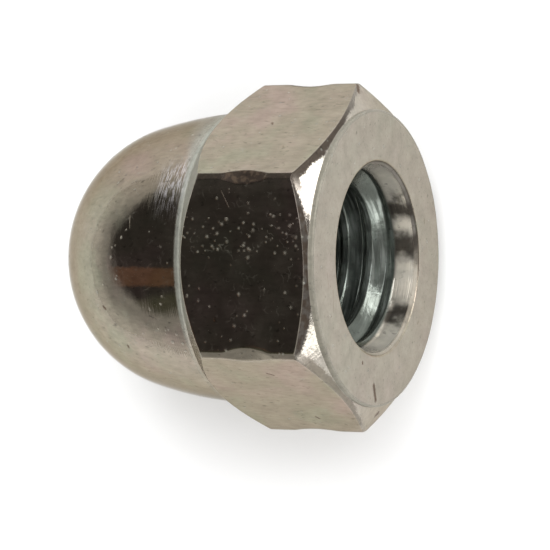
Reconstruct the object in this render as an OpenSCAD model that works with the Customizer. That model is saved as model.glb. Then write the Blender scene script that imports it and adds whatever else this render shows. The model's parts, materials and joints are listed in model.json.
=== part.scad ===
// Domed cap nut, tapped M10: a hexagon and a closed dome formed and tapped in one piece of steel.
// It is built on its own axis, from the bearing face up, and then laid down as it comes to rest on
// a bench. Its dome is the heavier end, so it lies on the side of the dome and the edge of a flat,
// with the mouth looking along +X and a little up. All sizes are in millimetres.

/* [Hexagon] */
// Width across the flats, the size of the spanner
across_flats = 17; // [16:0.1:18]
// Width across the corners, which the bar leaves a little rounded
across_corners = 19.4; // [18.6:0.1:19.6]
// Height of the hexagon, from the bearing face to the foot of the dome
hex_height = 8.15; // [6:0.05:10]

/* [Bearing face] */
// Diameter of the round face that seats on the work
bearing_d = 16.5; // [14:0.1:16.8]
// Height of the round face above the corner chamfer
bearing_step = 0.28; // [0.15:0.01:0.6]
// Broken edge round the bearing face
bearing_break = 0.1; // [0.05:0.01:0.14]
// Angle of the corner chamfer beside the bearing face, from the face, in degrees
mouth_chamfer_deg = 28; // [20:1:35]

/* [Dome] */
// Height from the bearing face to the tip of the dome
total_height = 18.7; // [18:0.1:22]
// Diameter of the dome at its foot
dome_d = 16.4; // [15.6:0.1:16.8]
// Lean of the dome's side at its foot, in degrees
dome_lean_deg = 3; // [0:0.5:5]
// Radius of the long arc up the dome's side
dome_side_r = 23.4; // [20:0.2:30]
// Angle of the corner chamfer round the dome's foot, in degrees
dome_chamfer_deg = 42; // [25:1:45]
// Radius of the hollow between that chamfer and the dome's side
foot_fillet = 0.5; // [0.2:0.05:0.6]

/* [Corner dips] */
// Length of the shallow dip that forming leaves in the middle of each corner
dip_length = 2.7; // [1.5:0.1:4]
// Depth of that dip
dip_depth = 0.13; // [0.05:0.01:0.25]

/* [Thread and hole] */
// Nominal diameter of the thread
thread_d = 10; // [9:0.1:10.2]
// Pitch of the thread
thread_pitch = 1.5; // [1:0.25:1.5]
// Depth of the hole, from the bearing face to the shoulder of the drill's point
hole_depth = 14; // [10:0.1:14.5]
// Diameter of the hole's rim in the bearing face
rim_d = 10.9; // [10.8:0.1:11.6]
// Broken edge round the rim
rim_break = 0.2; // [0.05:0.01:0.25]
// Depth of the smooth entry ahead of the first turn
entry_depth = 1.3; // [0.5:0.1:2]
// Radial room of the entry's inner end round the thread
entry_room = 0.05; // [0.02:0.01:0.1]
// Angle of the lead-in from the entry down to the thread, from the axis, in degrees
lead_in_deg = 45; // [45:1:70]
// Full angle of the drill's point, in degrees
drill_point_deg = 118; // [110:1:140]

/* [Hidden] */

$fn = 192;
// How far a cutting shape reaches past the face that it cuts
clear = 1;
// How far the dome's outline reaches down into the hexagon
root_depth = 0.5;
// How far the foot's hollow cuts into what it touches, so that their outlines cross cleanly
bite = 0.002;
steel = [0.70, 0.66, 0.60];

flat_r = across_flats / 2;
corner_r = across_corners / 2;
bearing_r = bearing_d / 2;
dome_r = dome_d / 2;

// Heights at which the two corner chamfers meet the rounded corners
mouth_corner_z = bearing_step + (corner_r - bearing_r) * tan(mouth_chamfer_deg);
dome_corner_z = hex_height - (corner_r - dome_r) * tan(dome_chamfer_deg);

// The dome's side is an arc about side_c that leaves the foot with its lean. The nose is the
// sphere about the axis that touches both that arc and the plane of the total height.
side_c = [
    dome_r - dome_side_r * cos(dome_lean_deg),
    hex_height - dome_side_r * sin(dome_lean_deg)
];
side_reach = total_height - side_c[1];
nose_r = (dome_side_r ^ 2 - side_c[0] ^ 2 - side_reach ^ 2) / (2 * (dome_side_r - side_reach));
nose_z = total_height - nose_r;
join_deg = atan2(nose_z - side_c[1], -side_c[0]);
join_z = nose_z + nose_r * sin(join_deg);

// The foot's hollow is an arc about hollow_c that touches the side's arc and the chamfer
chamfer_out = [sin(dome_chamfer_deg), cos(dome_chamfer_deg)];
hollow_reach = ([dome_r, hex_height] - side_c) * chamfer_out + foot_fillet;
hollow_deg = 90 - dome_chamfer_deg - acos(hollow_reach / (dome_side_r + foot_fillet));
hollow_dir = [cos(hollow_deg), sin(hollow_deg)];
hollow_c = side_c + (dome_side_r + foot_fillet) * hollow_dir;

// Basic minor diameter of a metric thread, which is also the size of the plain hole
minor_r = thread_d / 2 - 0.5413 * thread_pitch;
entry_r = thread_d / 2 + entry_room;
lead_in_z = entry_depth + (entry_r - minor_r) / tan(lead_in_deg);
point_length = minor_r / tan(drill_point_deg / 2);

dip_r = (dip_length ^ 2 / 4 + dip_depth ^ 2) / (2 * dip_depth);
dip_z = (mouth_corner_z + dome_corner_z) / 2;

// The bench touches the nut at the middle of a flat's edge, next to the dome, and at the dome.
// touch_lean(c, r) is how far the axis leans when the bench also touches the arc about c of radius r.
// An arc that reaches past the edge is touched by itself, square to that edge.
edge = [flat_r, hex_height - (flat_r - dome_r) * tan(dome_chamfer_deg)];
function touch_lean(c, r) =
    atan2(edge[1] - c[1], edge[0] - c[0]) + acos(min(1, r / norm(edge - c)));
side_lean = touch_lean(side_c, dome_side_r);
lean_deg = side_lean < join_deg ? side_lean : touch_lean([0, nose_z], nose_r);

// Where the bearing face's centre goes, so that the nut stands on Z = 0 and is centred along X
down = [cos(lean_deg), sin(lean_deg)];
lowest = max(edge * down, side_c * down + dome_side_r);
mouth_reach = (bearing_r - bearing_break) * sin(lean_deg);
nose_reach = nose_z * cos(lean_deg) + nose_r;
rest_place = [(nose_reach - mouth_reach) / 2, 0, lowest];

// Six-sided bar, longer than the whole nut: three slabs crossed, one with its faces on the X sides
module hex_bar() {
    intersection_for(turn = [0, 60, 120])
        rotate([0, 0, turn])
            translate([-flat_r, -across_flats, -clear])
                cube([across_flats, 2 * across_flats, total_height + 2 * clear]);
}

// Half outline of the hexagon's turned ends: bearing face, step, both chamfers and the corners.
// At the dome's foot it rises to the hollow's middle, and the hollow is then cut out of it.
module hexagon_outline() {
    difference() {
        polygon([
            [0, 0],
            [bearing_r - bearing_break, 0],
            [bearing_r, bearing_break],
            [bearing_r, bearing_step],
            [corner_r, mouth_corner_z],
            [corner_r, dome_corner_z],
            hollow_c - foot_fillet * chamfer_out,
            hollow_c,
            hollow_c - foot_fillet * hollow_dir,
            [0, hex_height]
        ]);
        translate(hollow_c)
            circle(r = foot_fillet + bite);
    }
}

// Half outline of the dome: its side arc up to join_z, and the round nose, which lies inside
// that arc below join_z. Both reach down into the hexagon by root_depth, so that all is one solid.
module dome_outline() {
    intersection() {
        translate(side_c)
            circle(r = dome_side_r);
        translate([0, hex_height - root_depth])
            square([corner_r, join_z - hex_height + root_depth]);
    }
    intersection() {
        translate([0, nose_z])
            circle(r = nose_r);
        translate([0, hex_height - root_depth])
            square([dome_r, total_height - hex_height + root_depth + clear]);
    }
}

// Everything that the lathe leaves
module turned_form() {
    rotate_extrude()
        union() {
            hexagon_outline();
            dome_outline();
        }
}

// Rim, smooth entry, lead-in, plain hole at the thread's minor diameter, and the drill's point
module tapped_hole() {
    rotate_extrude()
        polygon([
            [0, -clear],
            [rim_d / 2 + clear, -clear],
            [rim_d / 2, 0],
            [rim_d / 2 - rim_break, rim_break],
            [entry_r, entry_depth],
            [minor_r, lead_in_z],
            [minor_r, hole_depth],
            [0, hole_depth + point_length]
        ]);
}

// Shallow dip in the middle of each of the six corners
module corner_dips() {
    for (corner = [0 : 5])
        rotate([0, 0, 30 + 60 * corner])
            translate([corner_r - dip_depth + dip_r, 0, dip_z])
                rotate([90, 0, 0])
                    cylinder(r = dip_r, h = across_flats / 4, center = true);
}

// The nut, laid down as it rests
module cap_nut() {
    color(steel)
        translate(rest_place)
            rotate([0, -90 - lean_deg, 0])
                difference() {
                    intersection() {
                        hex_bar();
                        turned_form();
                    }
                    tapped_hole();
                    corner_dips();
                }
}

cap_nut();
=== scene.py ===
# %% [markdown]
# # A domed cap nut
# This lesson dresses one small fastener: a hexagon nut with a closed dome, tapped M10. The real
# one is pressed, cut and zinc plated in one piece. The measured model gives its place and its
# outer size. Here the same form is built again with soft edges, a real thread and a worn finish.

# %% Load the measured model
import json
import math

import bpy
from mathutils import Matrix, Vector


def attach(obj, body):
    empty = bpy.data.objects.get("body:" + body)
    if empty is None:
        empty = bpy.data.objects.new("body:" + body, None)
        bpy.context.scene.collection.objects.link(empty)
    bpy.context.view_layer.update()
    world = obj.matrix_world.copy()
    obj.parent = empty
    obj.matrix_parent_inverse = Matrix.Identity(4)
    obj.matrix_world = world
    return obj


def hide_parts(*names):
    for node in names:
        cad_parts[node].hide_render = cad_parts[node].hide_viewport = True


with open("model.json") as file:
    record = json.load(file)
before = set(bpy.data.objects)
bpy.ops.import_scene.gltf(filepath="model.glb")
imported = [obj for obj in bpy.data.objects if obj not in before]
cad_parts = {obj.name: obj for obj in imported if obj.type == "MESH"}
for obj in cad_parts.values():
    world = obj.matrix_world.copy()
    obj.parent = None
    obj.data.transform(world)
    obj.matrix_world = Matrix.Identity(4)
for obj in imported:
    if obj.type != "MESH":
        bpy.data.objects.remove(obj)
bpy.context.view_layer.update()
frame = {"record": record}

# %% [markdown]
# ## Where the nut lies
# The nut lies on its dome and on the edge of one flat, so its axis leans. The measured model's
# mounts say where the thread's axis and the upper flat are. From them comes a frame of its own
# for the nut: x out of the upper flat, z from the mouth to the dome, and zero at the mouth.

# %% Find the nut's own frame
MM = 0.001
mounts = {mount["name"]: mount for mount in frame["record"]["mounts"]}
out_of_mouth = Vector(mounts["thread"]["axis"]).normalized()
out_of_flat = Vector(mounts["top_flat"]["axis"]).normalized()
axis_point = Vector(mounts["thread"]["pos_m"])
face_point = Vector(mounts["bearing_face"]["pos_m"])
mouth = axis_point + (face_point - axis_point).dot(out_of_mouth) * out_of_mouth
across = out_of_flat.cross(out_of_mouth)
turn = Matrix((out_of_flat, across, -out_of_mouth)).transposed()
nut_place = Matrix.Translation(mouth) @ turn.to_4x4()
print("mouth at", [round(c, 5) for c in mouth], "axis out of it", [round(c, 4) for c in out_of_mouth])

# %% [markdown]
# ## The nut's sizes
# All of these are in millimetres along the nut's own axis, counted from the bearing face, and
# they are the measured model's. Soft edges and the thread's grooves come later and are extra.

# %% Name the outside's sizes
FLAT_R = 8.5                                # from the axis to the middle of a flat
CORNER_R = 9.7                              # from the axis to the narrow land on each corner
HEX_HEIGHT = 8.15                           # where the hexagon ends and the dome begins
BEARING_R = 8.25                            # the round face at the mouth
BEARING_STEP = 0.28                         # how far that face stands out from the chamfer
MOUTH_SLOPE = math.tan(math.radians(28))    # the corners' chamfer beside the mouth
FOOT_SLOPE = math.tan(math.radians(42))     # the corners' chamfer beside the dome
FOOT_R = 8.2                                # the dome where it starts
FOOT_HOLLOW = 0.5                           # the hollow in which it starts
SIDE_R = 23.4                               # the long arc of the dome's side
SIDE_LEAN = math.radians(3)                 # how far that side leans in at the foot
TIP_Z = 18.7                                # the dome's tip
DIP_LENGTH = 2.7                            # the shallow dip pressed into each corner
DIP_DEPTH = 0.13
mouth_edge = BEARING_STEP + (CORNER_R - BEARING_R) * MOUTH_SLOPE
foot_edge = HEX_HEIGHT - (CORNER_R - FOOT_R) * FOOT_SLOPE
print("a corner's land runs from", round(mouth_edge, 3), "to", round(foot_edge, 3), "mm")

# %% Name the hole's sizes
THREAD_R = 5.0
PITCH = 1.5
MINOR_R = THREAD_R - 0.5413 * PITCH         # the basic metric form's height of a thread
HOLE_DEPTH = 14.0
POINT_LENGTH = MINOR_R / math.tan(math.radians(59))
RIM_R = 5.45                                # the hole's edge in the bearing face
RIM_BREAK = 0.2                             # the small chamfer on that edge
ENTRY_R = 5.05                              # the smooth entry, where it ends
ENTRY_DEPTH = 1.3
ENTRY_TAPER = (RIM_R - RIM_BREAK - ENTRY_R) / (ENTRY_DEPTH - RIM_BREAK)
LEAD_SLOPE = math.tan(math.radians(45))     # the cone from the entry down to the thread
GROOVE_START = 1.0                          # the thread's first groove cuts back to here
groove_mouth = (ENTRY_R + (ENTRY_DEPTH - GROOVE_START) * ENTRY_TAPER, GROOVE_START)
print("minor radius", round(MINOR_R, 3), "mm, entry", round(groove_mouth[0], 3), "mm at the groove")

# %% Fit the round nose to the dome's side
side_centre = (FOOT_R - SIDE_R * math.cos(SIDE_LEAN), HEX_HEIGHT - SIDE_R * math.sin(SIDE_LEAN))
side_reach = TIP_Z - side_centre[1]
nose_r = (SIDE_R ** 2 - side_centre[0] ** 2 - side_reach ** 2) / (2 * (SIDE_R - side_reach))
nose_z = TIP_Z - nose_r
join = math.atan2(nose_z - side_centre[1], -side_centre[0])
print("nose radius", round(nose_r, 3), "mm, joins the side at", round(math.degrees(join), 2), "degrees")

# %% [markdown]
# ## Two half outlines
# Cut a hexagon nut along its axis and the outline depends on one number only: how far the
# hexagon's side is from the axis in that direction. Every point of the outline moves in a
# straight line as that number grows. So two outlines with the same points, one through the
# middle of a flat and one through a corner, hold the whole outside of the nut. Forging and
# tumbling leave no edge sharp, so each corner of the outline becomes a small arc.

# %% Draw arcs and straight runs
def arc(centre, radius, start, end, steps):
    """Points on an arc, from one angle to another, both ends included."""
    angles = [start + (end - start) * i / steps for i in range(steps + 1)]
    return [Vector((centre[0] + radius * math.cos(a), centre[1] + radius * math.sin(a))) for a in angles]


def soft_corner(before, corner, after, radius, steps=5):
    """The arc that rounds one corner of an outline."""
    back = (before - corner).normalized()
    ahead = (after - corner).normalized()
    half = back.angle(ahead) / 2
    centre = corner + (back + ahead).normalized() * radius / math.sin(half)
    first = corner + back * radius / math.tan(half) - centre
    swing = first.angle_signed(corner + ahead * radius / math.tan(half) - centre)
    return [centre + Matrix.Rotation(-swing * i / steps, 2) @ first for i in range(steps + 1)]


def straight(start, end, steps, margin=0.06):
    """Points between two ends, without them, and close to both so that flat faces shade flat."""
    step = (end - start).normalized() * min(margin, (end - start).length / 4)
    first = start + step
    last = end - step
    return [first.lerp(last, i / steps) for i in range(steps + 1)]


print("outline helpers ready")

# %% Draw the two outlines
NOSE_STEPS = 32
SIDE_STEPS = 22


def outline(side):
    """Half outline from the dome's tip to the end of the hole's entry, for one side distance."""
    side_foot = HEX_HEIGHT - (side - FOOT_R) * FOOT_SLOPE
    side_mouth = BEARING_STEP + (side - BEARING_R) * MOUTH_SLOPE
    # Each corner's radius from the axis, height, softness, and steps along the run after it.
    corners = [
        (FOOT_R, HEX_HEIGHT, FOOT_HOLLOW, 2),
        (side, side_foot, 0.1, 48),
        (side, side_mouth, 0.15, 6),
        (BEARING_R, BEARING_STEP, 0.04, 1),
        (BEARING_R, 0, 0.09, 8),
        (RIM_R, 0, 0.05, 2),
        (RIM_R - RIM_BREAK, RIM_BREAK, 0.06, 6),
    ]
    points = arc((0, nose_z), nose_r, math.radians(90), join, NOSE_STEPS)
    points += arc(side_centre, SIDE_R, join, SIDE_LEAN, SIDE_STEPS)[1:-1]
    places = [points[-1]] + [Vector(corner[:2]) for corner in corners] + [Vector(groove_mouth)]
    arcs = [soft_corner(*places[i:i + 3], corner[2]) for i, corner in enumerate(corners)]
    ends = [following[0] for following in arcs[1:]] + [places[-1]]
    for corner, rounded, end in zip(corners, arcs, ends):
        points += rounded + straight(rounded[-1], end, corner[3])
    return points + [places[-1]]


flat_outline = outline(FLAT_R)
corner_outline = outline(CORNER_R)
print("outline points:", len(flat_outline), "and", len(corner_outline))

# %% [markdown]
# ## The thread as more points of the same outline
# A thread is an outline too, but one that climbs a pitch with every turn. Its points carry a
# mark, climb = 1, and the tree below slides them along the axis as it goes round. Crest and
# root have the basic metric form, a crest a quarter of the pitch wide and flanks at 60 degrees,
# with the soft corners that tapping and plating leave.
# It starts in the lead-in and fades out near the bottom, where a tap's own lead cuts less deep.

# %% List one turn's points
CREST_SOFTNESS = 0.1
ROOT_SOFTNESS = 0.07
TAP_ROOM = 0.05                             # how much deeper than the basic form a tap cuts
ROOT_R = THREAD_R + TAP_ROOM


def thread_outline():
    """One pitch of the thread as radius and height: crest, flank, root, flank."""
    crest = PITCH / 4
    root = PITCH / 8
    root_start = (PITCH - root) / 2
    corners = [
        (MINOR_R, crest / 2, CREST_SOFTNESS),
        (ROOT_R, root_start, ROOT_SOFTNESS),
        (ROOT_R, root_start + root, ROOT_SOFTNESS),
        (MINOR_R, PITCH - crest / 2, CREST_SOFTNESS),
    ]
    places = [Vector((MINOR_R, 0))] + [Vector(c[:2]) for c in corners] + [Vector((MINOR_R, PITCH))]
    points = []
    for i, corner in enumerate(corners):
        points += soft_corner(*places[i:i + 3], corner[2], steps=4)
    return points


turn_points = thread_outline()
print("points in a turn:", len(turn_points))

# %% Repeat the turn and close the bottom
RUNOUT_START = 10.4                         # from here the groove gets shallower
RUNOUT_END = 13.2                           # and here it is gone
CREST_HEIGHT = 0.145                        # a crest's height at the first column
BOTTOM_CORNER = Vector((MINOR_R - 0.06, HOLE_DEPTH + 0.03))
POINT_STEPS = 8
first_turn = CREST_HEIGHT - PITCH
turns = math.ceil((RUNOUT_END - first_turn) / PITCH) + 1
thread_points = [point + Vector((0, first_turn + PITCH * k)) for k in range(turns) for point in turn_points]
tip = Vector((0, HOLE_DEPTH + POINT_LENGTH))
bottom = [Vector((MINOR_R, RUNOUT_END)), Vector((MINOR_R, HOLE_DEPTH - 0.1))]
bottom += [BOTTOM_CORNER.lerp(tip, i / POINT_STEPS) for i in range(POINT_STEPS + 1)]
print(turns, "turns, and", len(bottom), "points at the bottom")

# %% [markdown]
# ## The seed mesh
# Geometry Nodes read the outline as the vertices of a small mesh without faces. Each vertex is
# one row of the nut. Its position holds the outline through the flat, and three attributes hold
# the outline through the corner, the climb, and whether the row is inside the hole.

# %% Make the seed mesh
def is_inside(point):
    """Whether a point of the outline lies past the middle of the rim's small chamfer."""
    return point.x < RIM_R - RIM_BREAK / 2 and point.y < HEX_HEIGHT


rows = [(a, b, 0.0, float(is_inside(a))) for a, b in zip(flat_outline, corner_outline)]
rows += [(point, point, 1.0, 1.0) for point in thread_points]
rows += [(point, point, 0.0, 1.0) for point in bottom]
at_flat, at_corner, climbing, inside = zip(*rows)
seed_mesh = bpy.data.meshes.new("nut_outline")
seed_mesh.from_pydata([(point.x, 0, point.y) for point in at_flat], [], [])
corner_marks = seed_mesh.attributes.new("at_corner", "FLOAT_VECTOR", "POINT")
corner_marks.data.foreach_set("vector", [c for point in at_corner for c in (point.x, 0, point.y)])
for name, values in {"climb": climbing, "hole": inside}.items():
    seed_mesh.attributes.new(name, "FLOAT", "POINT").data.foreach_set("value", values)
nut = bpy.data.objects.new("cap_nut_shell", seed_mesh)
bpy.context.scene.collection.objects.link(nut)
print(len(rows), "rows")

# %% [markdown]
# ## Sums that become nodes
# A tree of Math nodes is hard to read as a picture and easy to read as a sum. This small class
# lets the script write a + b or a.least(b), and each sum adds the Math node that does it.

# %% Write sums as nodes
def math_node(operation):
    """Makes the method that adds one kind of Math node."""
    def method(self, *others):
        node = self.tree.nodes.new("ShaderNodeMath")
        node.operation = operation
        for socket, value in zip(node.inputs, (self, *others)):
            plug(self.tree, value, socket)
        return Value(self.tree, node.outputs[0])

    return method


class Value:
    """A number or vector on its way through a node tree."""

    def __init__(self, tree, socket):
        self.tree = tree
        self.socket = socket

    __add__ = math_node("ADD")
    __sub__ = math_node("SUBTRACT")
    __mul__ = math_node("MULTIPLY")
    __truediv__ = math_node("DIVIDE")
    __mod__ = math_node("FLOORED_MODULO")
    floor = math_node("FLOOR")
    size = math_node("ABSOLUTE")
    root = math_node("SQRT")
    sine = math_node("SINE")
    cosine = math_node("COSINE")
    arctangent = math_node("ARCTAN2")
    least = math_node("MINIMUM")
    most = math_node("MAXIMUM")
    soft_least = math_node("SMOOTH_MIN")


def plug(tree, value, socket):
    """Links a Value to a socket, or sets the socket to a plain number or colour."""
    if isinstance(value, Value):
        tree.links.new(value.socket, socket)
    else:
        socket.default_value = value


print("sums ready")

# %% Add other nodes
def add(tree, kind, values=(), output=0, **settings):
    """Adds a node, sets it up, fills its inputs by name or number, and gives one of its outputs."""
    node = tree.nodes.new(kind)
    for name, value in settings.items():
        setattr(node, name, value)
    for name, value in dict(values).items():
        plug(tree, value, node.inputs[name])
    return Value(tree, node.outputs[output])


def xyz_of(vector):
    """Splits a vector into its three numbers."""
    split = add(vector.tree, "ShaderNodeSeparateXYZ", {0: vector})
    return [Value(vector.tree, socket) for socket in split.socket.node.outputs]


print("helpers ready")

# %% [markdown]
# ## The tree that turns the nut
# The tree starts from a grid with one column for each direction round the axis and one row for
# each outline point. It then moves every grid point to its place. Columns crowd together near
# the six corners, where the form changes fastest. The corner itself is a narrow land, because
# the bar it is made from is a little rounded, and a shallow dip is pressed into its middle.

# %% Name the tree's inputs
tree = bpy.data.node_groups.new("turned_nut", "GeometryNodeTree")
INPUTS = {
    "Columns": ("Int", 192),
    "Crowding": ("Float", 0.8),
    "Flat Radius": ("Float", FLAT_R),
    "Corner Radius": ("Float", CORNER_R),
    "Corner Softness": ("Float", 0.06),
    "Dip Length": ("Float", DIP_LENGTH),
    "Dip Depth": ("Float", DIP_DEPTH),
    "Dip Height": ("Float", (mouth_edge + foot_edge) / 2),
    "Pitch": ("Float", PITCH),
    "Minor Radius": ("Float", MINOR_R),
    "Entry Radius": ("Float", ENTRY_R),
    "Entry Depth": ("Float", ENTRY_DEPTH),
    "Entry Taper": ("Float", ENTRY_TAPER),
    "Lead Slope": ("Float", LEAD_SLOPE),
    "Groove Start": ("Float", GROOVE_START),
    "Runout Start": ("Float", RUNOUT_START),
    "Runout End": ("Float", RUNOUT_END),
    "Runout Slope": ("Float", 0.3),
    "Merge Distance": ("Float", 0.0004),
    "Unevenness": ("Float", 0.012),
    "Waves": ("Float", 0.45),
    "Seed": ("Float", 3.0),
    "Finish": ("Material", None),
}
tree.interface.new_socket("Outline", in_out="INPUT", socket_type="NodeSocketGeometry")
for name, (kind, _) in INPUTS.items():
    tree.interface.new_socket(name, in_out="INPUT", socket_type="NodeSocket" + kind)
tree.interface.new_socket("Nut", in_out="OUTPUT", socket_type="NodeSocketGeometry")
group_in = tree.nodes.new("NodeGroupInput")
given = {socket.name: Value(tree, socket) for socket in group_in.outputs if socket.name}
print("inputs:", ", ".join(INPUTS))

# %% Count rows and columns
ROUNDING_ROOM = 0.0001                      # keeps a whole number from rounding down
row_count = add(tree, "GeometryNodeAttributeDomainSize", {"Geometry": given["Outline"]}, component="MESH")
grid_size = {"Vertices X": given["Columns"] + 1, "Vertices Y": row_count}
grid = add(tree, "GeometryNodeMeshGrid", grid_size)
index = add(tree, "GeometryNodeInputIndex")
row = add(tree, "FunctionNodeFloatToInt", {0: index % row_count}, rounding_mode="ROUND")
column = (index / row_count + ROUNDING_ROOM).floor()
print("one column more than", INPUTS["Columns"][1], "so that the last lies on the first")

# %% Read the outline at each row
def row_value(kind, value):
    """Reads one value of the outline at this point's row."""
    values = {"Geometry": given["Outline"], "Value": value, "Index": row}
    return add(tree, "GeometryNodeSampleIndex", values, data_type=kind, domain="POINT")


def row_mark(kind, name):
    """Reads one of the outline's attributes at this point's row."""
    return row_value(kind, add(tree, "GeometryNodeInputNamedAttribute", {"Name": name}, data_type=kind))


position = add(tree, "GeometryNodeInputPosition")
flat_radius, _, flat_height = xyz_of(row_value("FLOAT_VECTOR", position))
corner_radius, _, corner_height = xyz_of(row_mark("FLOAT_VECTOR", "at_corner"))
climbs = row_mark("FLOAT", "climb")
in_hole = row_mark("FLOAT", "hole")
print("the tree reads", len(rows), "rows")

# %% [markdown]
# ## Round the six sides
# The direction runs from one corner to the next in sixty degrees. The hexagon's side distance
# in that direction is the flat's distance over a cosine, cut off softly at the corner's land.
# That distance alone mixes the two outlines.

# %% Place the rows round the axis
SIDES = 6
SIDE_ANGLE = math.tau / SIDES
sixth = column / (given["Columns"] / SIDES)
within = sixth - sixth.floor() - 0.5
bend = (within * math.tau).sine() * given["Crowding"] / math.tau
from_flat = (within + bend) * SIDE_ANGLE
angle = from_flat + sixth.floor() * SIDE_ANGLE
to_flat = given["Flat Radius"] / from_flat.cosine()
side = to_flat.soft_least(given["Corner Radius"], given["Corner Softness"])
share = (side - given["Flat Radius"]) / (given["Corner Radius"] - given["Flat Radius"])
radius = flat_radius + (corner_radius - flat_radius) * share
height = flat_height + (corner_height - flat_height) * share
print("sides placed")

# %% Press the dips into the corners
dip_length = given["Dip Length"]
dip_depth = given["Dip Depth"]
dip_radius = (dip_length * dip_length / 4 + dip_depth * dip_depth) / (dip_depth * 2)
from_dip = height - given["Dip Height"]
dip = given["Corner Radius"] - dip_depth + from_dip * from_dip / (dip_radius * 2)
from_corner = from_flat.size() - SIDE_ANGLE / 2
undipped = radius
radius = radius.soft_least(dip / from_corner.cosine(), given["Corner Softness"])
pressed = undipped - radius
off_flat = given["Flat Radius"] - radius * from_flat.cosine()
print("dips pressed")

# %% [markdown]
# ## Climb the thread
# A climbing row slides along the axis as it goes round, so after one turn it meets the row that
# is one pitch further in, and the seam closes by itself. Rows that would leave the threaded
# stretch stop at its ends. The lead-in's cone cuts the first turns, and near the bottom the
# groove gets shallower until only the plain hole is left.

# %% Slide the climbing rows
HALF_SIDE = 0.5 / SIDES                     # the first column is at a corner, half a side before x
around = angle / math.tau + HALF_SIDE
slid = (height + given["Pitch"] * around).most(given["Groove Start"]).least(given["Runout End"])
to_lead = given["Entry Depth"] - slid
lead_in = given["Entry Radius"] + (to_lead * given["Entry Taper"]).least(to_lead * given["Lead Slope"])
fading = (slid - given["Runout Start"]).most(0) * given["Runout Slope"]
groove = (radius - fading).most(given["Minor Radius"]).most(lead_in)
radius = radius + (groove - radius) * climbs
height = height + (slid - height) * climbs
place = add(tree, "ShaderNodeCombineXYZ", {0: radius * angle.cosine(), 1: radius * angle.sine(), 2: height})
print("thread placed")

# %% [markdown]
# ## Close the shell and leave it a little uneven
# The last column lies on the first, and the rows at the tip and at the thread's ends fall
# together, so Merge by Distance closes the shell. No pressed part is perfectly even. A slow
# noise moves the surface by about a hundredth of a millimetre, which bends reflections.

# %% Store the marks and close the shell
marks = {"nut_mm": place, "off_flat": off_flat, "pressed": pressed, "in_hole": in_hole}
for name, value in marks.items():
    kind = "FLOAT_VECTOR" if name == "nut_mm" else "FLOAT"
    values = {"Geometry": grid, "Name": name, "Value": value}
    grid = add(tree, "GeometryNodeStoreNamedAttribute", values, data_type=kind, domain="POINT")
placed = add(tree, "GeometryNodeSetPosition", {"Geometry": grid, "Position": place})
merging = {"Geometry": placed, "Distance": given["Merge Distance"]}
closed = add(tree, "GeometryNodeMergeByDistance", merging)
print("marks stored:", ", ".join(marks))

# %% Finish the tree
wave_form = {"W": given["Seed"], "Scale": given["Waves"], "Detail": 2.0}
waves = add(tree, "ShaderNodeTexNoise", wave_form, noise_dimensions="4D")
lift = (waves - 0.5) * 2 * given["Unevenness"]
normal = add(tree, "GeometryNodeInputNormal")
offset = add(tree, "ShaderNodeVectorMath", {0: normal, "Scale": lift}, operation="SCALE")
uneven = add(tree, "GeometryNodeSetPosition", {"Geometry": closed, "Offset": offset})
smooth = add(tree, "GeometryNodeSetShadeSmooth", {"Geometry": uneven})
real = add(tree, "GeometryNodeRealizeInstances", {"Geometry": smooth})
finished = add(tree, "GeometryNodeSetMaterial", {"Geometry": real, "Material": given["Finish"]})
group_out = tree.nodes.new("NodeGroupOutput")
plug(tree, finished, group_out.inputs[0])
print("tree of", len(tree.nodes), "nodes")

# %% [markdown]
# ## Plated steel that has lain in a box of others
# The plating is bright, but thin and not quite clean. A finish painted by hand would have to be
# unwrapped. This one is worked out at each point instead, from four marks that the tree has
# stored on the mesh: the point's place on the nut in millimetres, how far it is off a flat, how
# deep it is pressed in, and whether it is in the hole. They tell a dip from a chamfer.

# %% Start the finish
steel = bpy.data.materials.new("plated_steel")
steel.use_nodes = True
finish = steel.node_tree
shader = finish.nodes["Principled BSDF"]
shader.inputs["Specular Tint"].default_value = (0.6, 0.56, 0.5, 1)


def mark(name, output="Fac"):
    """Reads one of the marks that the tree stored."""
    return add(finish, "ShaderNodeAttribute", output=output, attribute_name=name)


spot = mark("nut_mm", "Vector")
off_flat = mark("off_flat")
pressed = mark("pressed")
in_hole = mark("in_hole")
x, y, z = xyz_of(spot)
from_axis = (x * x + y * y).root()
heading = y.arctangent(x)
print("finish started")

# %% [markdown]
# ## Soft limits
# Nothing on a real surface begins at a sharp line. Every place on the nut is therefore a number
# from 0 to 1 with soft limits, and places are joined by sums. Headings are in radians round the
# axis, with 0 at the middle of the upper flat, and heights are in millimetres from the mouth.

# %% Write soft limits as nodes
def ramp(value, low, high):
    """0 below low, 1 above high, and smooth between."""
    limits = {"Value": value, "From Min": low, "From Max": high}
    return add(value.tree, "ShaderNodeMapRange", limits, interpolation_type="SMOOTHSTEP")


def fall(value, low, high):
    """1 below low, 0 above high, and smooth between."""
    return ramp(value * -1, -high, -low)


def band(value, low, high, softness):
    """1 between two limits, and 0 beyond them."""
    return ramp(value, low - softness, low + softness) * fall(value, high - softness, high + softness)


def opposite(place):
    """1 where a place is 0, and 0 where it is 1."""
    return place * -1 + 1


def total(*shares):
    """Adds up places, each times its own strength."""
    amounts = [place * strength for place, strength in shares]
    return sum(amounts[1:], amounts[0])


print("soft limits ready")

# %% Make noise
def noise(scale, detail, seed, where=spot):
    """Noise from 0 to 1, with scale clouds to a millimetre and detail rounds of finer ones."""
    values = {"Vector": where, "W": seed, "Scale": scale, "Detail": detail}
    return add(finish, "ShaderNodeTexNoise", values, noise_dimensions="4D")


def stretched(x_scale, y_scale, z_scale):
    """The place on the nut, squeezed or stretched along its three directions."""
    return add(finish, "ShaderNodeCombineXYZ", {0: x * x_scale, 1: y * y_scale, 2: z * z_scale})


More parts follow.
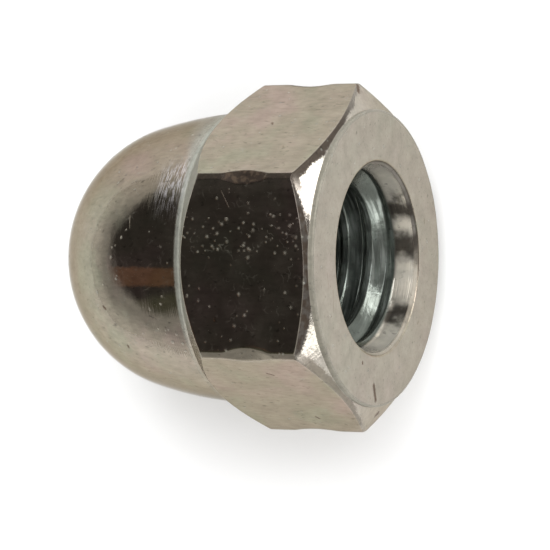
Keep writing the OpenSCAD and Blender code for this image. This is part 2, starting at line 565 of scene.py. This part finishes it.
RAGGED_MM = 0.12                            # the width over which a limit can stray
ragged = (noise(7, 3, seed=8) - 0.5) * RAGGED_MM
rings = noise(1, 4, seed=13, where=stretched(0.35, 0.35, 9.0))
print("noise ready")

# %% Find the faces and the chamfers
# A band's first two numbers are its limits, and its last one says how soft they are.
outside = opposite(in_hole)
off_edge = ramp(off_flat, 0.005, 0.03) * outside
on_face = band(from_axis, RIM_R + 0.05, BEARING_R - 0.05, 0.05) * fall(z, 0.02, 0.05)
near_step = ramp(from_axis, BEARING_R - 0.17, BEARING_R - 0.07) * outside
on_step = near_step * fall(z, BEARING_STEP - 0.02, BEARING_STEP + 0.02)
on_chamfer = band(z, BEARING_STEP, mouth_edge + 0.03, 0.03) * off_edge
on_upper_flat = ramp(x, FLAT_R - 0.2, FLAT_R - 0.1)
print("faces found")

# %% Find the corners and the dome's foot
PALE_FOOT = (-0.48, 1.35)                   # the headings between which the foot is palest
# The corners' land and dips get painted shade, only on the half that is above in the camera's view.
upper_in_view = ramp(y, -1.0, 1.0)                  # the half that is above in the camera's view
on_land = band(z, mouth_edge, foot_edge, 0.04) * off_edge * upper_in_view
in_dip = ramp(pressed + ragged * 0.4, 0.004, 0.04) * upper_in_view
unpressed = outside - in_dip
foot_side = band(heading, *PALE_FOOT, 0.27) * 0.8 + 0.2
# The foot's chamfer gets a pale painted reflection, palest between the PALE_FOOT headings.
at_foot = band(z, foot_edge - 0.05, HEX_HEIGHT + 0.3, 0.08) * off_edge * foot_side
print("corners and foot found")

# %% Find the hole's parts
in_thread = in_hole * ramp(z, ENTRY_DEPTH - 0.1, ENTRY_DEPTH + 0.1)
in_entry = in_hole - in_thread
rim_height = band(z, 0.02, RIM_BREAK + 0.04, 0.03)
on_rim = band(from_axis, RIM_R - RIM_BREAK - 0.05, RIM_R + 0.05, 0.04) * rim_height
print("hole divided")

# %% [markdown]
# ## Where the wear and the painted light are
# Handling wears a nut unevenly. On this one the chamfer is worn to a mottled wedge where it meets
# the upper flat. On the two flats beside that one it is stained brown, more above than below in
# the camera's view. The upper flat's top edge is darkened there with painted shade. A pale band of
# painted reflection spreads up from the dome's foot, and something has rubbed bright strokes into
# the dome.

# %% Find the wedge beside the upper flat
HALF_FLAT = 0.52                            # the heading of the upper flat's corners
across_chamfer = off_flat / (heading.cosine() * -BEARING_R + FLAT_R)    # 0 at the flat, 1 at the face
reach = heading.size() - fall(heading, -0.1, 0.0) * 0.1                 # the wedge is wider below
wedge = fall(across_chamfer + reach * 3 + ragged * 4, 1.42, 1.6)
worn = wedge * on_chamfer * fall(heading.size(), HALF_FLAT - 0.02, HALF_FLAT + 0.02)
# Painted shade along the upper flat's top edge, beside that corner.
shaded_top_edge = ramp(y + ragged * 8, 3.7, 4.9) * on_upper_flat
print("wedge found, up to heading", HALF_FLAT)

# %% Find the painted pale reflection at the dome's foot and the strokes on the dome
# A pale band of painted reflection runs up the dome from its foot, reaching higher on one side.
reflection_height = ramp(heading, 0.55, 1.25) * 1.4 + 0.35                    # in millimetres up the dome
below_reflection_end = fall((z - HEX_HEIGHT) / reflection_height, 0.5, 1.2)
above_hollow = ramp(z, HEX_HEIGHT + 0.15, HEX_HEIGHT + 0.35)
foot_reflection = below_reflection_end * above_hollow * ramp(heading, 0.5, 0.7)
rubbed = band(heading, 0.4, 0.7, 0.14) * band(z, 8.5, 10.0, 0.5)
strokes = noise(1, 3, seed=9, where=stretched(2.0, 1.2, 14.0))
stroked = rubbed * ramp(strokes, 0.46, 0.58)
print("haze and strokes found")

# %% Find the stain along the chamfer's edge
LOWER_SIDE = (-1.5, -0.55)                  # headings of the flat that is below in the view
UPPER_SIDE = (0.48, 1.62)                   # and of the one that is above
STAIN_REACH = 0.56                          # how far in from a flat, in millimetres
lower = band(heading, *LOWER_SIDE, 0.1)
upper = band(heading, *UPPER_SIDE, 0.08) * (fall(heading, 1.1, 1.6) * 0.6 + 0.4)
edge_waves = (noise(1.5, 2, seed=19) - 0.5) * 0.4
corner_pull = (heading.size() - HALF_FLAT) * 0.25
rim_edge = off_flat + ragged * 3 + edge_waves + corner_pull
stained_sides = total((upper, 0.92), (lower, 0.7)) + 0.05
rim_stain = fall(rim_edge, STAIN_REACH - 0.18, STAIN_REACH) * on_chamfer * stained_sides
print("the stain reaches about", STAIN_REACH, "mm in from a flat")

# %% [markdown]
# ## Marks that can be told apart
# A few scratches, nicks and spots of dirt are large enough to have places of their own. Each is
# a short line between two places on the nut, with a width. All the rest is left to noise.

# %% List the scratches and nicks
SCRATCHES = [
    ((8.5, 4.1, 5.3), (8.5, 3.2, 4.85), 0.022),
    ((7.3, 2.7, 11.6), (7.5, 2.0, 11.5), 0.03),
    ((5.8, -1.4, 0), (5.8, -2.6, 0), 0.04),
    ((6.5, -0.4, 0), (6.3, -1.3, 0), 0.03),
    ((8.1, 1.6, 8.4), (8.1, 1.8, 8.4), 0.1),
    ((8.5, -2.9, 5.8), (8.5, -2.8, 5.8), 0.09),
    ((6.1, 6.3, 2.7), (5.9, 6.4, 2.8), 0.06),
    ((-6.3, 1.9, 0), (-6.3, 1.7, 0), 0.08),
    ((-5.2, -3.9, 0), (-5.1, -4.0, 0), 0.08),
]
print(len(SCRATCHES), "scratches and nicks")

# %% List the spots of dirt
DIRT = [
    ((6.8, -2.4, 13.7), (6.8, -2.5, 13.6), 0.1),
    ((5.9, -4.6, 12.7), (5.8, -4.7, 12.7), 0.09),
    ((2.3, -5.6, 0), (2.3, -5.65, 0), 0.1),
    ((3.8, 7.6, 4.5), (3.9, 7.5, 4.4), 0.08),
    ((0.9, -7.0, 0), (0.7, -7.8, 0), 0.16),
    ((-0.7, -8.7, 0.5), (-0.5, -8.85, 0.55), 0.15),
    ((6.8, -5.9, 3.6), (6.6, -6.0, 3.3), 0.07),
    ((1.9, -8.7, 3.1), (1.7, -8.8, 3.0), 0.08),
    ((0.5, 9.25, 0.8), (0.2, 9.55, 0.95), 0.17),
]
print(len(DIRT), "spots of dirt")

# %% Draw the marks
FULL_WIDTH = 0.3                            # a line is full within this share of its width
LAST_WIDTH = 1.3                            # and gone beyond this one
LINE_RAGGEDNESS = 8


def vector_node(operation, values, output=0):
    """Adds a Vector Math node."""
    return add(finish, "ShaderNodeVectorMath", values, output, operation=operation)


def line(start, end, width):
    """1 along a straight line on the nut, with ragged edges."""
    reach = Vector(end) - Vector(start)
    away = vector_node("SUBTRACT", {0: spot, 1: start})
    along = vector_node("DOT_PRODUCT", {0: away, 1: reach / reach.length_squared}, "Value")
    foot = vector_node("SCALE", {0: tuple(reach), "Scale": along.most(0).least(1)})
    distance = vector_node("DISTANCE", {0: away, 1: foot}, "Value")
    strayed = distance + ragged * width * LINE_RAGGEDNESS
    return fall(strayed, width * FULL_WIDTH, width * LAST_WIDTH)


def any_of(lines):
    """1 on any of the listed lines."""
    place = line(*lines[0])
    for listed in lines[1:]:
        place = place.most(line(*listed))
    return place


scratched = any_of(SCRATCHES)
dirty = any_of(DIRT)
print("marks drawn")

# %% [markdown]
# ## Pits
# Where the plating didn't take it left pits, each a cell of a Voronoi texture. A few lie
# anywhere, and most in a row along the upper flat. Small curled marks lie between them. The pits'
# relief is real, and their paleness and that of the curls is a painted glint. None shows in the
# dips, which were pressed deep, and the curls keep off the chamfer too.

# %% Scatter the pits
CELLS_PER_MM = 3.2
to_middle = add(finish, "ShaderNodeTexVoronoi", {"Vector": spot, "Scale": CELLS_PER_MM}, "Distance")
luck, _, pit_size = xyz_of(Value(finish, to_middle.socket.node.outputs["Color"]))
pit_row = band(y, 0.8, 2.6, 0.4) * on_upper_flat
crowd = total((ramp(noise(0.6, 2, seed=7), 0.4, 0.6), 0.1), (pit_row, 0.4)) + 0.03
chosen = ramp(crowd - luck, 0.0, 0.01)
pit_width = pit_size * 0.34 + 0.2 + ragged * 5
pit = fall(to_middle / pit_width, -0.1, 1.0) * chosen * unpressed
curls = band(noise(2.1, 1, seed=17), 0.49, 0.51, 0.03) * ramp(noise(1.8, 2, seed=18), 0.5, 0.68)
curls = curls * unpressed * opposite(on_chamfer)
print("pits scattered")

# %% [markdown]
# ## Colour
# Zinc plating is a warm grey. It drifts a little towards pink and towards green, it is darker and
# browner where the parting tool has rubbed it, and greener in the hole. Painted shade darkens the
# dips and lands of the upper corners, the upper flat's top edge, the hole's sides and one side of
# the rim. Painted reflections lighten the entry and the dome's foot, and pale painted glints sit on the
# pits.
# The colours are laid over one another like coats of paint, each with its share.

# %% Name the colours of clean plating
PLAIN = (0.296, 0.262, 0.21, 1)
PINK = (0.326, 0.264, 0.228, 1)
GREEN = (0.28, 0.266, 0.206, 1)
FACE_GREY = (0.402, 0.38, 0.342, 1)
STEP_GREY = (0.235, 0.22, 0.18, 1)
# Painted pale reflection on the dome just above its foot.
FOOT_REFLECTION_GREY = (0.275, 0.275, 0.24, 1)
PALE_BLUE = (0.32, 0.325, 0.285, 1)
RUBBED = (0.74, 0.72, 0.74, 1)
TEAL = (0.4, 0.44, 0.4, 1)
DARK_TEAL = (0.25, 0.285, 0.255, 1)
SHADED_TEAL = (0.078, 0.088, 0.075, 1)
# Painted reflection: the bright warm wall of the hole's entry.
ENTRY_PAINTED_REFLECTION = (0.95, 0.89, 0.78, 1)
print("plain plating is", PLAIN[:3])

# %% Name the colours of grime and of painted shade
BROWN = (0.045, 0.034, 0.026, 1)
# Painted shade for the corners' land and dips.
DIP_SHADE_BROWN = (0.055, 0.042, 0.034, 1)
# Painted dark reflection bands in the entry, and painted shade on one side of the rim.
ENTRY_PAINTED_DARK = (0.05, 0.042, 0.035, 1)
LOW_BROWN = (0.13, 0.11, 0.08, 1)
# A brown for real stains and scratches, and for the painted shade in the dips and along the upper flat's
# edge.
STAIN_AND_SHADE_BROWN = (0.16, 0.115, 0.08, 1)
DIRT_BROWN = (0.09, 0.058, 0.038, 1)
WORN_GREY = (0.07, 0.062, 0.054, 1)
print("grime is", BROWN[:3])

# %% Mix and lay colours
def mixed(share, first, second):
    """A colour between two, by share."""
    return add(share.tree, "ShaderNodeMix", {0: share, 6: first, 7: second}, 2, data_type="RGBA")


def layered(colour, *layers):
    """Lays colours over one another, each with its share."""
    for share, over in layers:
        colour = mixed(share, colour, over)
    return colour


print("colours ready")

# %% Lay the clean plating and the painted reflection at the dome's foot
drift = noise(0.35, 3, seed=1)
colour = layered(
    PLAIN,
    (ramp(drift, 0.5, 0.68), PINK),
    (fall(drift, 0.34, 0.48), GREEN),
    (total((on_face, 0.55), (on_chamfer, 0.6)), FACE_GREY),
    # Pale painted reflection on the foot's chamfer and up the dome.
    (at_foot, PALE_BLUE),
    (foot_reflection * 0.85, FOOT_REFLECTION_GREY),
    (stroked, RUBBED),
)
print("clean plating laid")

# %% Lay the grime and the painted shade on the hexagon
mottled = ramp(noise(2.6, 4, seed=21), 0.4, 0.62)
shade_tone = ramp(noise(3.2, 3, seed=20), 0.46, 0.62) * 0.5
colour = layered(
    colour,
    (rim_stain, mixed(lower, BROWN, LOW_BROWN)),
    (worn, mixed(mottled, BROWN, WORN_GREY)),
    (on_step, STEP_GREY),
    # Painted shade on the corners' land and in their dips, on the half above in the camera's view, and
    # along the upper flat's top edge.
    (on_land * 0.85, DIP_SHADE_BROWN),
    (total((in_dip, 0.95), (shaded_top_edge, 0.5)), mixed(shade_tone, DIP_SHADE_BROWN, STAIN_AND_SHADE_BROWN)),
)
print("grime laid")

# %% Colour the hole, with its painted shade and the entry's painted reflection
# The hole's sides get painted shade, and so do blotches that break up its bright bands.
shaded_sides_of_hole = ramp(y.size() + (rings - 0.5) * 6, 2.2, 3.4)
shade_blotches = ramp(noise(0.75, 3, seed=22, where=stretched(0.5, 1.0, 1.6)), 0.46, 0.6)
shade_blotches = shade_blotches.most(band(y + (rings - 0.5) * 5, -0.3, 0.8, 0.6))
bore = layered(
    TEAL,
    (ramp(rings, 0.44, 0.56), DARK_TEAL),
    (shaded_sides_of_hole * 0.8, SHADED_TEAL),
    (shade_blotches * 0.65, SHADED_TEAL),
)
# The entry's wall gets a painted reflection: a bright warm colour crossed by dark painted bands that stay
# fixed round the hole.
wavy = y + (noise(1.3, 3, seed=15) - 0.5) * 1.7
dark_reflection_bands = band(wavy, 2.0, 3.3, 0.45)
dark_reflection_bands = dark_reflection_bands.most(band(wavy, -0.4, 1.1, 0.5)).most(band(wavy, -3.9, -2.7, 0.5))
colour = layered(
    colour,
    (in_thread, bore),
    (in_entry, mixed(dark_reflection_bands * 0.95, ENTRY_PAINTED_REFLECTION, ENTRY_PAINTED_DARK)),
    # The rim's small chamfer gets painted shade on one side.
    (on_rim * 0.8, mixed(ramp(wavy, -1.0, 1.0), PLAIN, ENTRY_PAINTED_DARK)),
)
print("hole coloured")

# %% Stain the dome and colour the marks
on_dome = ramp(z, 8.6, 9.2)
far_side = x * 0.9 - (z - nose_z) * 0.45
rim_of_dome = band(far_side, -2.0, 2.8, 1.0) * ramp(y, -4.0, 1.0)
speckled = ramp(noise(3.8, 5, seed=16), 0.42, 0.64)
stain = on_dome * total((ramp(y, 2.0, 5.0), 0.36), (rim_of_dome * speckled, 0.42))
colour = layered(
    colour,
    (stain * outside, STAIN_AND_SHADE_BROWN),
    # Pits and curls get a pale painted glint.
    ((pit + curls) * 0.6, PALE_BLUE),
    (scratched * 0.4, STAIN_AND_SHADE_BROWN),
    (dirty * 0.9, DIRT_BROWN),
)
print("dome stained")

# %% Cloud it all
streaks = noise(5, 4, seed=3, where=stretched(1.0, 1.0, 0.35))
streak_strength = (outside * 0.5 + 0.1) * (on_face * -0.5 + 1)
specks = ramp(noise(4.5, 3, seed=14, where=stretched(1.0, 1.0, 0.6)), 0.6, 0.72)
cloud = (noise(1.3, 5, seed=2) * 0.5 + streaks * streak_strength + 0.5) * opposite(specks * 0.4)
colour = vector_node("SCALE", {0: colour, "Scale": cloud})
plug(finish, colour, shader.inputs["Base Color"])
print("colour mixed")

# %% [markdown]
# ## Gloss
# The bright skin is smooth enough to mirror the room. Grime hides the metal, and so do the painted
# shade, reflections and glints, so they lower Metallic. What was pressed, cut or worn is duller too,
# so it raises Roughness. Thick grime and the painted shade in the dips have no gloss of their own,
# so there Specular IOR Level falls as well.

# %% Dull the plating
BRIGHT = 0.035
FULL_GLOSS = 0.5
film = total(
    (ramp(noise(0.8, 4, seed=10), 0.4, 0.75), 0.02),
    (in_dip, 0.05), (in_thread, 0.35), (in_entry, 0.35), (at_foot, 0.35), (foot_reflection, 0.2),
    (stroked, 0.15), (worn, 0.9), (on_step, 0.7), (shaded_top_edge, 0.06), (rim_stain, 0.9),
    (dirty, 0.5), (pit, pit_size * 0.26 + 0.06), (curls, pit_row * 0.18 + 0.07),
)
plug(finish, opposite(film).most(0), shader.inputs["Metallic"])
dull = total(
    (noise(2.2, 3, seed=4), 0.06),
    (in_dip, 0.2), (on_land, 0.12), (in_hole, 0.06), (on_rim, 0.35), (at_foot, 0.3), (foot_reflection, 0.2),
    (worn, 0.3), (on_step, 0.35), (rim_stain, 0.3), (dirty, 0.3), (pit, 0.4), (curls, 0.2),
)
plug(finish, dull + BRIGHT, shader.inputs["Roughness"])
# The painted shade in the dips is made matte along with the grime.
matte = (rim_stain + worn + in_dip + dirty).least(1)
plug(finish, matte * -0.45 + FULL_GLOSS, shader.inputs["Specular IOR Level"])
print("gloss set")

# %% [markdown]
# ## Relief
# The relief is too fine for the mesh, so a Bump node bends the light instead. It has slow waves,
# a fine grain, turning marks at the dome's foot and in the hole, pebbles that forging left on the
# chamfer, and the pits and scratches. Its heights are in thousandths of a millimetre.

# %% Add the relief
MICRON = 0.000001
turning_marks = noise(1, 2, seed=11, where=stretched(0.3, 0.3, 16.0))
dome_foot = band(z, 8.4, 10.8, 0.4) * outside
pebbles = noise(5, 3, seed=12) * on_chamfer
relief = total(
    (noise(0.9, 2, seed=5), in_entry * 14 + 10),
    (noise(9, 3, seed=6), in_thread * 4 + 1.4),
    (noise(2.4, 3, seed=23), in_thread * 14),
    (turning_marks, total((dome_foot, 5), (in_hole, 7))),
    (pebbles, fall(heading, -0.2, 0.25) * 14 + 1),
    (pit, -11),
    (scratched, -5),
)
bump = add(finish, "ShaderNodeBump", {"Strength": 1.0, "Distance": MICRON, "Height": relief})
plug(finish, bump, shader.inputs["Normal"])
print("finish of", len(finish.nodes), "nodes")

# %% [markdown]
# ## From the tree to a plain mesh
# The tree runs as a modifier on the seed mesh. Its result is kept as a plain mesh and the
# modifier goes, so that what is handed on no longer depends on any node. Until here the nut is
# in millimetres in its own frame. Now it moves to its place on the bench, in metres.

# %% Run the tree and keep its mesh
INPUTS["Finish"] = ("Material", steel)
turning = nut.modifiers.new("turning", "NODES")
turning.node_group = tree
for item in tree.interface.items_tree:
    if item.in_out == "INPUT" and item.name in INPUTS:
        turning[item.identifier] = INPUTS[item.name][1]
nut.update_tag()
depsgraph = bpy.context.evaluated_depsgraph_get()
shell = bpy.data.meshes.new_from_object(nut.evaluated_get(depsgraph))
nut.modifiers.remove(turning)
nut.data = shell
shell.transform(nut_place @ Matrix.Scale(MM, 4))
shell.name = "cap_nut_shell"
print("triangles:", sum(len(face.vertices) - 2 for face in shell.polygons))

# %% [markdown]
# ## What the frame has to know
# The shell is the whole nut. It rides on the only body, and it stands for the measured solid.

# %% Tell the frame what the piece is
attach(nut, "root")
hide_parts("cap_nut")
print("piece:", nut.name)

# %% [markdown]
# ## A plain studio
# Bare metal has hardly any colour of its own: it shows what stands round it. The nut lies on
# white paper, lit by four soft boxes that the metal doesn't mirror. It mirrors a painted room,
# pale, with a dim doorway in front, windows at both sides, and a dark ceiling with a brown shelf
# behind. That ceiling makes the upper flat nearly black and gives the form depth. Two small cards
# in front of the mouth, which only the metal sees, make the white corners of the chamfer.

# %% Lay the paper
bpy.ops.mesh.primitive_plane_add(size=0.7)
floor = bpy.context.object
floor.name = "floor"
paper = bpy.data.materials.new("paper")
paper.use_nodes = True
paper_shader = paper.node_tree.nodes["Principled BSDF"]
paper_shader.inputs["Base Color"].default_value = (0.93, 0.93, 0.93, 1)
paper_shader.inputs["Roughness"].default_value = 0.9
floor.data.materials.append(paper)
print("paper laid")

# %% Find the directions in the room
world = bpy.data.worlds.new("studio")
bpy.context.scene.world = world
world.use_nodes = True
room = world.node_tree
toward = add(room, "ShaderNodeTexCoord")
front, left, up = xyz_of(toward)
NEARLY_ZERO = 0.001                         # keeps straight up from dividing by nothing
level = (front * front + left * left).root() + NEARLY_ZERO
ahead = front / level                       # 1 where the mouth faces, -1 behind the dome
beside = left / level                       # 1 to the left, -1 to the right
print("directions found")

# %% Find the parts of the room
behind = fall(ahead, -0.1, 0.0) * band(beside, -0.62, 0.7, 0.05)
ceiling_edge = beside.most(0) * -0.2 + 0.34
ceiling = behind * ramp(up - ceiling_edge, -0.05, 0.05)
shelf = band(left, -0.28, -0.08, 0.012) * band(up, 0.2, 0.72, 0.04)
ahead_half = ramp(ahead, 0.0, 0.1)
doorway = band(beside, -0.27, 0.25, 0.04) * ahead_half
above_door = band(beside, -0.4, 0.38, 0.05) * ahead_half * ramp(up, 0.05, 0.15)
opening = doorway.most(above_door)
not_behind = ramp(ahead, -0.5, -0.4)
window = band(beside, 0.4, 1.1, 0.04) * band(up, 0.5, 0.97, 0.06) * not_behind
far_window = fall(beside, -0.7, -0.6) * band(up, 0.55, 0.95, 0.06) * not_behind
print("room divided")

# %% Paint the room
LOW_WALL = (1.0, 1.0, 0.98, 1)
HIGH_WALL = (0.5, 0.5, 0.49, 1)
CEILING = (0.062, 0.057, 0.055, 1)
CORNER = (0.12, 0.122, 0.09, 1)
SHELF = (0.19, 0.115, 0.075, 1)
OPENING = (0.27, 0.258, 0.258, 1)
WINDOW = (2.6, 2.65, 2.7, 1)
FAR_WINDOW = (0.9, 0.9, 0.88, 1)
dark = layered(CEILING, (fall(beside, -0.5, -0.4), CORNER), (shelf, SHELF))
walls = layered(
    LOW_WALL,
    (ramp(up, 0.0, 0.27), HIGH_WALL),
    (window, WINDOW),
    (far_window, FAR_WINDOW),
    (opening, OPENING),
    (ceiling, dark),
)
plug(room, walls, room.nodes["Background"].inputs["Color"])
print("room of", len(room.nodes), "nodes")

# %% Hang the soft boxes and the cards
def soft_box(name, place, aim, size, brightness, seen_in):
    """A rectangular lamp turned towards a point. It shines on paper or is mirrored in metal."""
    lamp = bpy.data.lights.new(name, "AREA")
    lamp.shape = "RECTANGLE"
    lamp.size, lamp.size_y = size
    lamp.energy = brightness * math.pi * size[0] * size[1]
    holder = bpy.data.objects.new(name, lamp)
    facing = (Vector(place) - Vector(aim)).to_track_quat("Z", "Y")
    holder.matrix_world = Matrix.Translation(place) @ facing.to_matrix().to_4x4()
    holder.visible_camera = False
    holder.visible_glossy = seen_in == "metal"
    holder.visible_diffuse = seen_in == "paper"
    bpy.context.scene.collection.objects.link(holder)


NUT = (0, 0, 0)
LEFT_CORNER = (0.009, 0.005, 0.013)
RIGHT_CORNER = (0.009, -0.005, 0.013)
soft_box("left_box", (0, 0.33, 0.38), NUT, (0.3, 0.6), 1.6, "paper")
soft_box("right_box", (0, -0.33, 0.38), NUT, (0.3, 0.6), 1.6, "paper")
soft_box("front_box", (0.4, 0, 0.3), NUT, (0.5, 0.3), 1.2, "paper")
soft_box("top_box", (0, 0, 0.6), NUT, (0.8, 0.8), 0.5, "paper")
soft_box("left_card", (0.064, 0.0248, 0.016), LEFT_CORNER, (0.0197, 0.032), 5.0, "metal")
soft_box("right_card", (0.062, -0.0282, 0.013), RIGHT_CORNER, (0.0078, 0.024), 2.2, "metal")
print(len(bpy.data.lights), "lamps hung")

# %% [markdown]
# ## The camera
# The camera looks down on the nut from the mouth's side, so that the hole, one flat and the
# dome show together. It stands off far enough for the hexagon to keep its shape.

# %% Place the camera
VIEW_YAW = math.radians(26.9)               # how far the mouth is turned towards the camera
VIEW_ROLL = math.radians(-0.49)             # the view about its own middle
VIEW_SPIN = math.radians(-3.56)             # the nut about its axis
STAND_OFF = 178.0                           # from the camera to the mouth, in millimetres
MOUTH_RIGHT = 5.734                         # how far the mouth is right of the view's middle
MOUTH_UP = 0.922                            # and above it
SENSOR_MM = 36
LENS_MM = 210.3055
yawed = Matrix.Rotation(VIEW_ROLL, 3, "Z") @ Matrix.Rotation(-math.pi / 2 - VIEW_YAW, 3, "Y")
to_camera = yawed @ Matrix.Rotation(VIEW_SPIN, 3, "Z")
eye = to_camera.transposed() @ Vector((-MOUTH_RIGHT, -MOUTH_UP, STAND_OFF)) * MM
camera = bpy.data.objects.new("camera", bpy.data.cameras.new("camera"))
camera.data.sensor_width = SENSOR_MM
camera.data.lens = LENS_MM
camera.data.clip_start = 0.01
camera.matrix_world = Matrix.Translation(nut_place @ eye) @ (turn @ to_camera.transposed()).to_4x4()
bpy.context.scene.collection.objects.link(camera)
bpy.context.scene.camera = camera
print("camera at", [round(c, 4) for c in camera.matrix_world.translation])

# %% Use the standard view transform
bpy.context.scene.view_settings.view_transform = "Standard"
